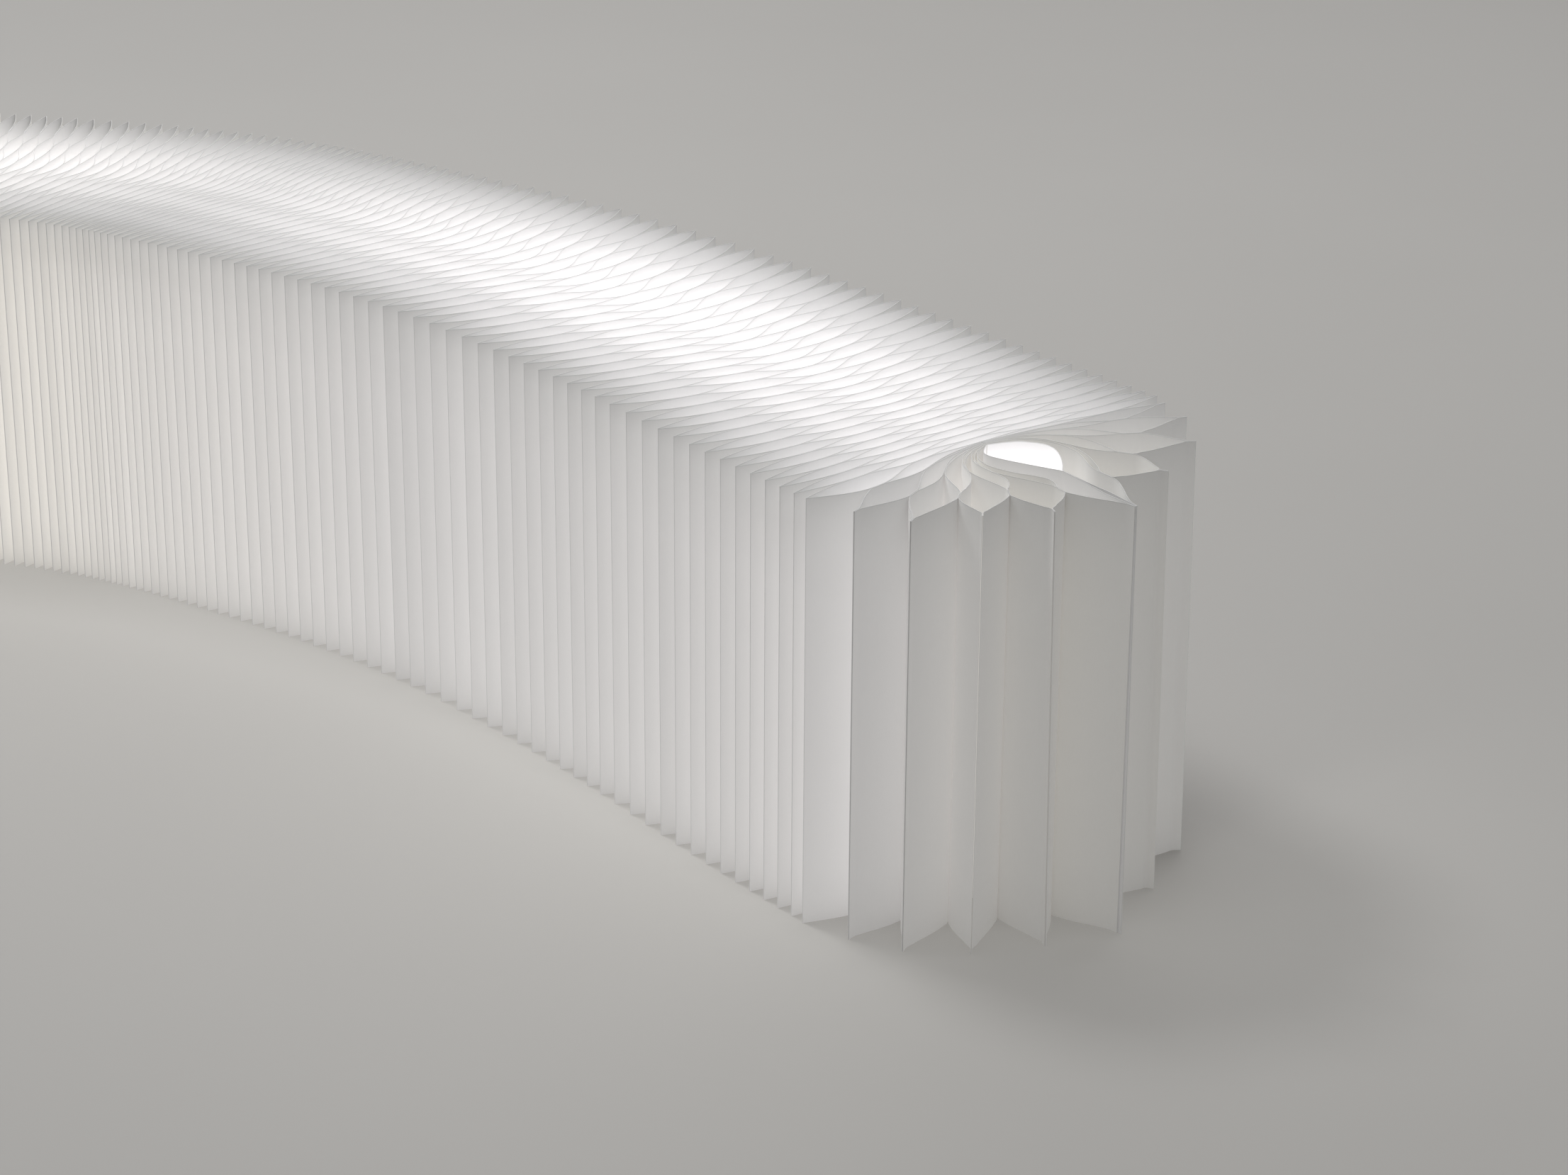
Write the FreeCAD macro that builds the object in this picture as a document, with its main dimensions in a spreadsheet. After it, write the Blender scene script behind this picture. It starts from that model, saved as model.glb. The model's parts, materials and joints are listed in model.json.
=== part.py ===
import FreeCAD, Part
import math
import os

# A free-standing wall of glued paper sheets. Every sheet stands on its lower edge across the wall, and is
# glued to its neighbours along upright lines, by turns at the outer edges and half a cell further in. So
# the sheets open into a honeycomb of lens-shaped tubes, and two sheets that share an outer edge are a
# pleat. The wall runs along X, its hollow side faces -Y, and the near end opens into a fan.

doc = FreeCAD.newDocument("pleated_paper_screen")

# ------------------------------------------------------------ driving dimensions, millimetres and degrees
SIZES = [
    ("sheet_width", 304.8, "flat sheet, from its front edge to its back edge"),
    ("sheet_height", 280.0, "flat sheet, from the floor to its top edge"),
    ("paper_thickness", 0.35, "nonwoven paper"),
    ("glue_film", 0.10, "glue between two sheets"),
    ("cells_across", 3, "lens-shaped cells from the front edge to the back edge"),
    ("stretch_pleats_1", 6, "pleats in the first pack that spreads and closes"),
    ("stretch_pleats_2", 9, "the same, second pack"),
    ("stretch_pleats_3", 9, "third pack"),
    ("stretch_pleats_4", 8, "fourth pack"),
    ("stretch_pleats_5", 7, "fifth pack"),
    ("stretch_pleats_6", 8, "sixth pack, next to the fan"),
    ("bend_pleats_1", 4, "pleats in the first pack that takes a bend"),
    ("bend_pleats_2", 6, "the same, second pack"),
    ("bend_pleats_3", 4, "third pack"),
    ("bend_pleats_4", 3, "fourth pack"),
    ("bend_pleats_5", 3, "fifth pack"),
    ("bend_pleats_6", 3, "sixth pack, next to the fan"),
    ("pitch_1", 13.5, "pleat spacing on the middle line at the far end"),
    ("pitch_2", 13.0, "spacing in the crowded stretch"),
    ("pitch_3", 8.2, "spacing where the crowd thins"),
    ("pitch_4", 14.5, "spacing at mid-length"),
    ("pitch_5", 20.5, "spacing in the open stretch"),
    ("pitch_6", 17.0, "spacing before the fan"),
    ("pitch_7", 10.0, "spacing at the fan"),
    ("heading_1", 30.0, "direction of the middle line at the far end, anticlockwise from X"),
    ("heading_2", 25.0, "direction in the crowded stretch"),
    ("heading_3", 6.0, "direction where the crowd thins"),
    ("heading_4", 1.0, "direction at mid-length"),
    ("heading_5", -10.0, "direction in the open stretch"),
    ("heading_6", -15.5, "direction before the fan"),
    ("heading_7", -14.0, "direction at the fan"),
    ("sweep_1", 6.0, "how far a sheet's two wings trail towards the far end, there"),
    ("sweep_2", 8.0, "trail in the crowded stretch"),
    ("sweep_3", 8.0, "trail where the crowd thins"),
    ("sweep_4", 12.0, "trail at mid-length"),
    ("sweep_5", 13.0, "trail in the open stretch"),
    ("sweep_6", 11.0, "trail before the fan"),
    ("sweep_7", -4.0, "trail at the fan, where the wings lean towards it"),
    ("sheet_skew", 5.5, "turn of every sheet from square across the wall"),
    ("fan_pleats", 5, "pleats in the fan"),
    ("fan_setback", 2.5, "from the last straight pleat to the fan's creases"),
    ("fan_closing", 0.8, "direction of the closing seam, from the middle line's at the fan"),
    ("fan_front_opening_1", 12.1, "opening of the fan's first front pleat, as a share of them all"),
    ("fan_front_opening_2", 13.3, "the same, second pleat"),
    ("fan_front_opening_3", 15.55, "third pleat"),
    ("fan_front_opening_4", 18.8, "fourth pleat"),
    ("fan_front_opening_5", 20.25, "fifth pleat"),
    ("fan_back_opening_1", 4.0, "opening of the first back pleat, as a share of them all"),
    ("fan_back_opening_2", 11.1, "the same, second pleat"),
    ("fan_back_opening_3", 19.0, "third pleat"),
    ("fan_back_opening_4", 26.8, "fourth pleat"),
    ("fan_back_opening_5", 28.5, "fifth pleat"),
    ("fan_front_reach_1", 0.99, "how far the first front tip stands out, as a share of half a sheet"),
    ("fan_front_reach_2", 0.99, "the same, second tip"),
    ("fan_front_reach_3", 0.865, "third tip"),
    ("fan_front_reach_4", 0.835, "fourth tip"),
    ("fan_front_reach_5", 0.91, "fifth tip, at the seam"),
    ("fan_back_reach_1", 0.957, "how far the first back tip stands out"),
    ("fan_back_reach_2", 0.937, "the same, second tip"),
    ("fan_back_reach_3", 0.87, "third tip"),
    ("fan_back_reach_4", 0.784, "fourth tip"),
    ("fan_back_reach_5", 0.91, "fifth tip, at the seam"),
    ("fan_front_lag", 0.72, "share of a front rib's turn that it makes only further out"),
    ("fan_back_lag", 0.96, "the same share behind, where the ribs bend round the eye"),
    ("fan_front_bend", 90.0, "along a front rib, from the creases to where it has made its turn"),
    ("fan_back_bend", 106.0, "the same length behind"),
    ("eye_length", 66.5, "open eye inside the last sheet, from the creases to where the seam closes"),
    ("eye_turn", 5.3, "direction of the eye's corner, from the closing direction"),
    ("eye_front_bulge", 14.0, "how far the eye's front side bows out"),
    ("eye_back_bulge", 28.0, "the same behind"),
    ("eye_front_fullness", 0.45, "how late the front bulge is widest, as a power of the way along"),
    ("eye_back_fullness", 0.7, "the same behind"),
    ("tunnel_width", 26.0, "notch in every sheet's foot, for the light ribbon"),
    ("tunnel_height", 15.0, "height of that notch"),
    ("ribbon_width", 14.0, "outside of the ribbon's sleeve"),
    ("ribbon_height", 8.0, "outside of the ribbon's sleeve"),
    ("sleeve_wall", 1.0, "wall of the sleeve"),
    ("sleeve_skirt", 2.6, "solid floor of the sleeve, under the tape"),
    ("tape_width", 10.0, "light tape"),
    ("tape_thickness", 0.4, "light tape"),
    ("chip_side", 3.6, "one light chip"),
    ("chip_height", 1.0, "one light chip"),
    ("chip_spacing", 25.0, "between chips, along the tape"),
    ("cap_length", 14.0, "end cap, along the ribbon"),
    ("cap_wall", 1.2, "end cap, round the sleeve"),
    ("cap_clearance", 0.1, "between the end cap and the sleeve"),
]

sheet = doc.addObject("Spreadsheet::Sheet", "Dimensions")
for row, (alias, value, note) in enumerate(SIZES, start=1):
    sheet.set(f"A{row}", alias)
    sheet.set(f"B{row}", str(value))
    sheet.set(f"C{row}", note)
    sheet.setAlias(f"B{row}", alias)
doc.recompute()


def size(alias):
    return float(sheet.get(alias))


def count(alias):
    return int(round(size(alias)))


# ---------------------------------------------------------------- plan geometry
PACKS = 6
QUARTER_TURN = 90
HALF_CELLS = 2 * count("cells_across")
MIDDLE = HALF_CELLS // 2
GLUE_STEP = size("sheet_width") / HALF_CELLS
HALF_GAP = (size("paper_thickness") + size("glue_film")) / 2
FAN_BENDS = 4
FAN_GAP = 1.5 * HALF_GAP
FAN_ROUNDING = 0.9
EYE_BENDS = 8


def polar(length, degrees):
    turn = math.radians(degrees)
    return (length * math.cos(turn), length * math.sin(turn))


def add(p, q):
    return (p[0] + q[0], p[1] + q[1])


def direction(p, q):
    """Direction from p to q in degrees."""
    return math.degrees(math.atan2(q[1] - p[1], q[0] - p[0]))


def toward(p, q, length):
    """p, moved by length in the direction of q."""
    share = length / math.dist(p, q)
    return (p[0] + (q[0] - p[0]) * share, p[1] + (q[1] - p[1]) * share)


def guide_indices():
    """Number of each single pleat that stands between two packs, counted from the far end."""
    found = [0]
    for pack in range(1, PACKS + 1):
        found.append(found[-1] + count(f"stretch_pleats_{pack}") + 1)
        found.append(found[-1] + count(f"bend_pleats_{pack}") + 1)
    return found


GUIDES = guide_indices()
PLEATS = GUIDES[-1] + 1


def along(name, pleat):
    """A value that is set at every second guide pleat, read at any pleat between."""
    keys = GUIDES[::2]
    pleat = min(pleat, keys[-1])
    number = next(n for n in range(1, PACKS + 1) if pleat <= keys[n])
    share = (pleat - keys[number - 1]) / (keys[number] - keys[number - 1])
    before = size(f"{name}_{number}")
    after = size(f"{name}_{number + 1}")
    return before + (after - before) * share


def straight_ribs():
    """Ribs are the upright surfaces between two sheets. Each is its glue points, front edge to back edge."""
    ribs = []
    middles = []
    spot = (0.0, 0.0)
    for number in range(2 * PLEATS):
        pleat = number / 2
        half_pitch = along("pitch", pleat) / 2
        heading = along("heading", pleat)
        sweep = along("sweep", pleat)
        across = heading + QUARTER_TURN + size("sheet_skew")
        step = math.sqrt(GLUE_STEP**2 - half_pitch**2)
        front = [add(spot, polar(step * n, across + 2 * QUARTER_TURN - sweep)) for n in range(MIDDLE, 0, -1)]
        back = [add(spot, polar(step * n, across + sweep)) for n in range(MIDDLE + 1)]
        ribs.append(front + back)
        middles.append(spot)
        spot = add(spot, polar(half_pitch, heading))
    return ribs, middles


def opening_turns(side_name, spread):
    """Turn of each fan rib from the last straight pleat, half-way ribs included."""
    pleats = range(1, count("fan_pleats") + 1)
    shares = [size(f"fan_{side_name}_opening_{n}") for n in pleats]
    turns = []
    done = 0.0
    for share in shares:
        opening = spread * share / sum(shares)
        turns += [done + opening / 2, done + opening]
        done += opening
    return turns


def rib_reaches(side_name):
    """Length of each fan rib from the creases out, half-way ribs included."""
    half_sheet = size("sheet_width") / 2
    reaches = []
    before = half_sheet
    for number in range(1, count("fan_pleats") + 1):
        reach = half_sheet * size(f"fan_{side_name}_reach_{number}")
        reaches += [(before + reach) / 2, reach]
        before = reach
    return reaches


def fan_wing(crease, start, turn, reach, lag, bend):
    """One wing of a fan rib. It leaves the creases at part of its turn and makes the rest further out."""
    fine_steps = MIDDLE * FAN_BENDS
    points = []
    for number in range(fine_steps + 1):
        out = number / fine_steps
        bent = min(out * size("sheet_width") / 2 / bend, 1)
        held_back = lag * (1 + math.cos(math.pi * bent)) / 2
        points.append(add(crease, polar(reach * out**FAN_ROUNDING, start + turn * (1 - held_back))))
    return points


def fan_wings(creases, side_name):
    """Every wing of one half of the fan. Front wings turn anticlockwise, back wings clockwise."""
    side = 1 if side_name == "front" else -1
    heading = size("heading_7")
    start = heading + size("sheet_skew") - side * (QUARTER_TURN + size("sweep_7"))
    seam_margin = math.degrees(4 * FAN_GAP / size("sheet_width"))
    spread = side * (heading + size("fan_closing") - start) - seam_margin
    wings = []
    for turn, reach in zip(opening_turns(side_name, spread), rib_reaches(side_name)):
        crease = add(creases, polar(2 * FAN_GAP * (len(wings) + 1), heading))
        lag = size(f"fan_{side_name}_lag")
        bend = size(f"fan_{side_name}_bend")
        wings.append(fan_wing(crease, start, side * turn, reach, lag, bend))
    return wings


def sheet_line(before, after, on_before, bends, clear):
    """A sheet's points: on one rib and on the next by turns, a hair off each for the glue."""
    points = []
    for number, (p, q) in enumerate(zip(before, after)):
        crossed = (1 - math.cos(math.pi * number / bends)) / 2
        share = crossed if on_before else 1 - crossed
        points.append(toward(p, q, clear + (math.dist(p, q) - 2 * clear) * share))
    return points


def band(points, width):
    """Closed outline of a strip of this width along a line of points, with mitred corners."""
    left = []
    right = []
    for number, point in enumerate(points):
        before = points[max(number - 1, 0)]
        after = points[min(number + 1, len(points) - 1)]
        ways = [direction(p, q) for p, q in ((before, point), (point, after)) if math.dist(p, q) > 0]
        half_turn = math.remainder(ways[-1] - ways[0], 360) / 2
        reach = width / 2 / math.cos(math.radians(half_turn))
        left.append(add(point, polar(reach, ways[0] + half_turn + QUARTER_TURN)))
        right.append(add(point, polar(reach, ways[0] + half_turn - QUARTER_TURN)))
    return left + right[::-1]


RIBS, MIDDLES = straight_ribs()
CREASES = add(MIDDLES[-1], polar(size("fan_setback"), size("heading_7")))
FAN = {"front": fan_wings(CREASES, "front"), "back": fan_wings(CREASES, "back")}


def straight_sheets(first_pleat, pleats):
    """Outlines of the sheets of a run of straight pleats."""
    first_fan_rib = FAN["front"][0][:0:-FAN_BENDS] + FAN["back"][0][::FAN_BENDS]
    ribs = RIBS + [first_fan_rib]
    outlines = []
    for number in range(2 * first_pleat, 2 * (first_pleat + pleats)):
        points = sheet_line(ribs[number], ribs[number + 1], number % 2 == 1, 1, HALF_GAP)
        outlines.append(band(points, size("paper_thickness")))
    return outlines


def leaf_sheets(side_name, number):
    """Outlines of the half sheets of one fan pleat, from the creases to the tip."""
    ribs = FAN[side_name][2 * number - 2 : 2 * number + 1]
    outlines = []
    for place, (before, after) in enumerate(zip(ribs, ribs[1:])):
        points = sheet_line(before, after, place == 0, FAN_BENDS, FAN_GAP)
        points[0] = toward(points[0], points[1], FAN_GAP)
        outlines.append(band(points, size("paper_thickness")))
    return outlines


def rib_turn(rib, closing, radius):
    """How far a rib still stands off the closing direction at this distance from its crease."""
    crease = rib[0]
    turn = 2 * QUARTER_TURN
    for point in rib[1:]:
        turn = abs(math.remainder(direction(crease, point) - closing, 360))
        if math.dist(crease, point) > radius:
            break
    return turn


def end_sheet(side_name):
    """Outline of half of the last sheet: round the eye inside the last rib, then along the seam."""
    side = -1 if side_name == "front" else 1
    rib = FAN[side_name][-1]
    crease = rib[0]
    closing = size("heading_7") + size("fan_closing")
    points = []
    for number in range(1, EYE_BENDS):
        share = number / EYE_BENDS
        widest = share ** size(f"eye_{side_name}_fullness")
        bulge = size(f"eye_{side_name}_bulge") * math.sin(math.pi * widest)
        out = size("eye_length") * share
        turn = side * size("eye_turn") + math.degrees(math.atan2(bulge, out))
        radius = math.hypot(bulge, out)
        room = rib_turn(rib, closing, radius) - math.degrees(2 * FAN_GAP / radius)
        points.append(add(crease, polar(radius, closing + side * min(turn, room))))
    corner = add(crease, polar(size("eye_length"), closing + size("eye_turn")))
    tip = add(crease, polar(math.dist(crease, rib[-1]), closing))
    off_seam = polar(HALF_GAP, direction(corner, tip) + side * QUARTER_TURN)
    points += [add(corner, off_seam), add(tip, off_seam)]
    points.insert(0, toward(crease, points[0], 2 * FAN_GAP))
    return [band(points, size("paper_thickness"))]


def centring_shift():
    """Move that brings the middle of the whole plan to the origin."""
    outlines = straight_sheets(0, PLEATS)
    for side_name in FAN:
        outlines += end_sheet(side_name)
        for number in range(1, count("fan_pleats") + 1):
            outlines += leaf_sheets(side_name, number)
    xs = [x for outline in outlines for x, y in outline]
    ys = [y for outline in outlines for x, y in outline]
    return (-(min(xs) + max(xs)) / 2, -(min(ys) + max(ys)) / 2)


SHIFT = centring_shift()

# ---------------------------------------------------------------- document objects
nodes = []


def extruded(name, outlines, floor, height):
    """Outlines raised into solids. The height is an expression in the sheet's dimensions."""
    faces = []
    for outline in outlines:
        corners = [FreeCAD.Vector(x + SHIFT[0], y + SHIFT[1], floor) for x, y in outline]
        faces.append(Part.Face(Part.makePolygon(corners + corners[:1])))
    plan = doc.addObject("Part::Feature", name + "_plan")
    plan.Shape = Part.makeCompound(faces)
    raised = doc.addObject("Part::Extrusion", name)
    raised.Base = plan
    raised.DirMode = "Custom"
    raised.Dir = FreeCAD.Vector(0, 0, 1)
    raised.Solid = True
    raised.setExpression("LengthFwd", height)
    return raised


def cut(name, base, tool):
    made = doc.addObject("Part::Cut", name)
    made.Base = base
    made.Tool = tool
    return made


def notched(name, first_pleat, pleats, tunnel):
    """A run of straight pleats, standing over the tunnel for the light ribbon."""
    raised = extruded(name + "_sheets", straight_sheets(first_pleat, pleats), 0, "Dimensions.sheet_height")
    nodes.append(cut(name, raised, tunnel))


def build_wall():
    guide_spots = [MIDDLES[2 * number] for number in GUIDES]
    past_end = add(MIDDLES[0], polar(-2 * size("pitch_1"), size("heading_1")))
    line = [past_end] + guide_spots[1:-1] + [MIDDLES[-1]]
    outline = band(line, size("tunnel_width"))
    tunnel = extruded("tunnel", [outline], -1, "Dimensions.tunnel_height + 1")
    for number, pleat in enumerate(GUIDES, start=1):
        notched(f"pleat_{number:02d}", pleat, 1, tunnel)
    for number in range(1, 2 * PACKS + 1):
        first = GUIDES[number - 1] + 1
        kind = "stretch" if number % 2 == 1 else "bend"
        notched(f"{kind}_pack_{(number + 1) // 2}", first, GUIDES[number] - first, tunnel)


def build_fan():
    for side_name in FAN:
        for number in range(1, count("fan_pleats") + 1):
            outlines = leaf_sheets(side_name, number)
            nodes.append(extruded(f"fan_{side_name}_leaf_{number}", outlines, 0, "Dimensions.sheet_height"))
        nodes.append(extruded(f"end_sheet_{side_name}", end_sheet(side_name), 0, "Dimensions.sheet_height"))


# ---------------------------------------------------------------- light ribbon
CAP_BORDER = size("cap_wall") + size("cap_clearance")
TAPE_FLOOR = CAP_BORDER + size("sleeve_skirt") + size("glue_film")
RIBBON_LINE = [MIDDLES[2 * number] for number in GUIDES]


def ribbon_part(end_inset):
    """The ribbon's line, with both ends drawn in."""
    line = list(RIBBON_LINE)
    line[0] = toward(line[0], line[1], end_inset)
    line[-1] = toward(line[-1], line[-2], end_inset)
    return line


def build_sleeve():
    bottom = CAP_BORDER
    outline = band(ribbon_part(CAP_BORDER), size("ribbon_width"))
    outer = extruded("sleeve_outside", [outline], bottom, "Dimensions.ribbon_height")
    hollow_width = size("ribbon_width") - 2 * size("sleeve_wall")
    hollow = extruded(
        "sleeve_hollow",
        [band(RIBBON_LINE, hollow_width)],
        bottom + size("sleeve_skirt"),
        "Dimensions.ribbon_height - Dimensions.sleeve_skirt - Dimensions.sleeve_wall",
    )
    nodes.append(cut("ribbon_sleeve", outer, hollow))


def build_tape():
    outline = band(ribbon_part(2 * CAP_BORDER), size("tape_width"))
    nodes.append(extruded("light_tape", [outline], TAPE_FLOOR, "Dimensions.tape_thickness"))


def build_chips():
    """Small square chips in a row on the tape."""
    half = size("chip_side") / 2
    outlines = []
    line = ribbon_part(2 * CAP_BORDER + size("chip_spacing") / 2)
    for start, end in zip(line, line[1:]):
        chips = int(math.dist(start, end) / size("chip_spacing") + 0.5)
        for number in range(chips):
            middle = toward(start, end, math.dist(start, end) * (number + 0.5) / chips)
            back = add(middle, polar(-half, direction(start, end)))
            front = add(middle, polar(half, direction(start, end)))
            outlines.append(band([back, front], 2 * half))
    floor = TAPE_FLOOR + size("tape_thickness")
    nodes.append(extruded("light_chips", outlines, floor, "Dimensions.chip_height"))


def build_cap(name, end, inward):
    """A cup pushed over one end of the sleeve. It is modelled along X and then turned into place."""
    body = doc.addObject("PartDesign::Body", name)
    block = doc.addObject("PartDesign::AdditiveBox", name + "_block")
    body.addObject(block)
    border = "2 * (Dimensions.cap_wall + Dimensions.cap_clearance)"
    block.setExpression("Length", "Dimensions.cap_length")
    block.setExpression("Width", f"Dimensions.ribbon_width + {border}")
    block.setExpression("Height", f"Dimensions.ribbon_height + {border}")
    socket = doc.addObject("PartDesign::SubtractiveBox", name + "_socket")
    body.addObject(socket)
    socket.setExpression("Length", "Dimensions.cap_length")
    socket.setExpression("Width", "Dimensions.ribbon_width + 2 * Dimensions.cap_clearance")
    socket.setExpression("Height", "Dimensions.ribbon_height + 2 * Dimensions.cap_clearance")
    socket.setExpression(".Placement.Base.x", "Dimensions.cap_wall")
    socket.setExpression(".Placement.Base.y", "Dimensions.cap_wall")
    socket.setExpression(".Placement.Base.z", "Dimensions.cap_wall")
    way = direction(end, inward)
    corner = add(end, polar(size("ribbon_width") / 2 + CAP_BORDER, way - QUARTER_TURN))
    spot = FreeCAD.Vector(corner[0] + SHIFT[0], corner[1] + SHIFT[1], 0)
    body.Placement = FreeCAD.Placement(spot, FreeCAD.Rotation(FreeCAD.Vector(0, 0, 1), way))
    nodes.append(body)


build_wall()
build_fan()
build_sleeve()
build_tape()
build_chips()
build_cap("end_cap_far", RIBBON_LINE[0], RIBBON_LINE[1])
build_cap("end_cap_near", RIBBON_LINE[-1], RIBBON_LINE[-2])
doc.recompute()

# ---------------------------------------------------------------- checks and export
for item in doc.Objects:
    if "Invalid" in item.State or "Error" in item.State:
        raise RuntimeError(f"{item.Label} did not compute: {item.State}")

os.makedirs("parts", exist_ok=True)
for node in nodes:
    if node.Shape.isNull() or not node.Shape.isValid():
        raise RuntimeError(f"{node.Label} has no valid shape")
    node.Shape.exportStep(f"parts/{node.Label}.step")
print(f"{len(nodes)} parts, {PLEATS} straight pleats")
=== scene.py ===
# %% [markdown]
# # A lit pleated paper screen
# The real thing is a low wall of white nonwoven paper, 28 cm high. Nearly 180 upright sheets are glued
# to each other in vertical strips, so that the wall is a honeycomb that stretches like an accordion.
# Its near end is spread into a fan until the two halves of the last sheet meet, and a ribbon of small
# lamps lies in a tunnel along its foot and makes the paper glow.
#
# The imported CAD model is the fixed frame. It has every sheet as a strip with straight runs between its
# glue points, and the scene hangs smooth paper on those points.

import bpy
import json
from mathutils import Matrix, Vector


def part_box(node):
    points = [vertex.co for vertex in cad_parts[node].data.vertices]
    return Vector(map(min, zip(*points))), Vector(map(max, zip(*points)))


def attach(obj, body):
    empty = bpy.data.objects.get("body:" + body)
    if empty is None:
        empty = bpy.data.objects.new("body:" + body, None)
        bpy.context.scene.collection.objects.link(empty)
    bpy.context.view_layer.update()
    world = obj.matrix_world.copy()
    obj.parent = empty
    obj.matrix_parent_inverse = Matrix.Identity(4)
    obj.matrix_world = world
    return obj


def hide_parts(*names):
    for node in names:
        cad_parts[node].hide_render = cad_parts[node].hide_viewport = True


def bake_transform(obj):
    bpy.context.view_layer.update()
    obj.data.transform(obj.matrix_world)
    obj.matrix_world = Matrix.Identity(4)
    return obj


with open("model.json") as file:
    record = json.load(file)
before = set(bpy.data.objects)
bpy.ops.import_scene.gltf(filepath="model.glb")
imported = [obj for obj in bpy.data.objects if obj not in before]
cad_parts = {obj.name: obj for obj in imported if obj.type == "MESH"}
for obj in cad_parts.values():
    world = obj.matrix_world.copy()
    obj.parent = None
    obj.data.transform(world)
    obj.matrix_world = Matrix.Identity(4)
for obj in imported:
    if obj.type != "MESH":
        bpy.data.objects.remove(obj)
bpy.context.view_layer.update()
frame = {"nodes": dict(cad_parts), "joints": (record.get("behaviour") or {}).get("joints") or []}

# %% [markdown]
# ## Working in plan
# Every sheet stands upright, so its shape is a line seen from above, raised to its height. The lines
# could be Blender curves, but plain arrays of points are easier to measure and to cut. The fan turns
# about one upright hinge, which is where the frame puts its joints.

# %% Helpers for numbers
import json
import math

import bpy
import numpy as np
from mathutils import Matrix, Vector

MM = 0.001
PACKS = 6
joints = {joint["name"]: joint for joint in frame["joints"]}
hinge = np.array(joints["fan_front_1"]["pos_m"][:2])
FAN_LEAVES = sum(name.startswith("fan_front_") for name in joints)
print("fan hinge at", hinge, "leaves each side", FAN_LEAVES)


def unit(vector):
    return vector / np.linalg.norm(vector)


def soft(share):
    """A soft S from 0 to 1."""
    return share * share * (3 - 2 * share)


# %% [markdown]
# ## Camera
# The camera stands about a metre up and looks down at the fan end, along the wall. Its place and turn
# could be set by eye, but a heading, a tilt and a small roll are easier to correct one at a time.

# %% Camera
CAMERA_FROM_HINGE = (1.2908, -1.7260)
CAMERA_HEIGHT = 1.014
CAMERA_HEADING = math.radians(40)
CAMERA_TILT = 0.36889
CAMERA_ROLL = 0.006126
LENS_PER_WIDTH = 2.3363
FILM_WIDTH = 36

right = Vector((math.cos(CAMERA_HEADING), math.sin(CAMERA_HEADING), 0))
level = Vector((-right.y, right.x, 0))
forward = level * math.cos(CAMERA_TILT) - Vector((0, 0, math.sin(CAMERA_TILT)))
up = right.cross(forward)
rolled_right = right * math.cos(CAMERA_ROLL) + up * math.sin(CAMERA_ROLL)
rolled_up = up * math.cos(CAMERA_ROLL) - right * math.sin(CAMERA_ROLL)

camera = bpy.data.objects.new("camera", bpy.data.cameras.new("camera"))
camera.data.sensor_width = FILM_WIDTH
camera.data.lens = LENS_PER_WIDTH * FILM_WIDTH
camera.matrix_world = Matrix((rolled_right, rolled_up, -forward)).transposed().to_4x4()
camera.location = (hinge[0] + CAMERA_FROM_HINGE[0], hinge[1] + CAMERA_FROM_HINGE[1], CAMERA_HEIGHT)
bpy.context.scene.collection.objects.link(camera)
bpy.context.scene.camera = camera
print("lens", round(camera.data.lens, 1), "mm, looking", tuple(round(x, 3) for x in forward))

# %% [markdown]
# ## Reading the glue points
# Every sheet in the frame is a thin upright strip that bends only at its stations: the middle, the
# glue points and, in the fan, a few places between. Seen from above, each station is a pair of close
# corners, one on each side of the paper. So the top corners of one loose part, sorted along the sheet
# and taken in pairs, give the sheet's line without any list of numbers.

# %% Loose parts
MICRONS = 1e6


def top_corners(node):
    """For each loose part of a node, its corners on the top edge, seen from above."""
    mesh = node.data
    corners = np.array([v.co for v in mesh.vertices])
    keys = np.round(corners * MICRONS).astype(int)
    spots, spot_of = np.unique(keys, axis=0, return_inverse=True)
    edges = np.array([e.vertices[:] for e in mesh.edges])
    ends = spot_of.ravel()[edges]
    part = np.arange(len(spots))
    changed = True
    while changed:
        low = np.minimum(part[ends[:, 0]], part[ends[:, 1]])
        before = part.copy()
        np.minimum.at(part, ends[:, 0], low)
        np.minimum.at(part, ends[:, 1], low)
        part = part[part]
        changed = not np.array_equal(before, part)
    places = spots / MICRONS
    top = places[:, 2] > places[:, 2].max() - MM
    return [places[top & (part == number), :2] for number in np.unique(part)]


sample = top_corners(frame["nodes"]["pleat_07"])
print("a guide pleat has", len(sample), "sheets with", len(sample[0]), "top corners each")

# %% Stations
def stations(corners, order):
    """Middles of the corner pairs, in the order of a measure along the sheet."""
    rank = np.argsort([order(corner) for corner in corners])
    pairs = corners[rank].reshape(-1, 2, 2)
    return pairs.mean(axis=1)


def straight_line(corners):
    """Stations of a sheet of the straight wall, front tip to back tip."""
    middle = corners.mean(axis=0)
    spread = np.linalg.eigh(np.cov((corners - middle).T))[1][:, 1]
    if spread[1] < 0:
        spread = -spread
    return stations(corners, lambda corner: (corner - middle) @ spread)


def from_hinge(corner):
    return np.linalg.norm(corner - hinge)


print("stations of a straight sheet:", len(straight_line(sample[0])))

# %% [markdown]
# ## Half sheets
# The wall is built in halves, front and back of its middle, because the two halves sweep away from
# each other like a shallow V and in the fan they part altogether. A half sheet is a line that runs
# from the middle out to its tip. Sheets are numbered from the far end, and at each glue point a
# sheet is held to the one before or the one after it by turns, which makes the honeycomb.

# %% Half sheets
STEPS_OUT = 3
TINY = 1e-6


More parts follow.
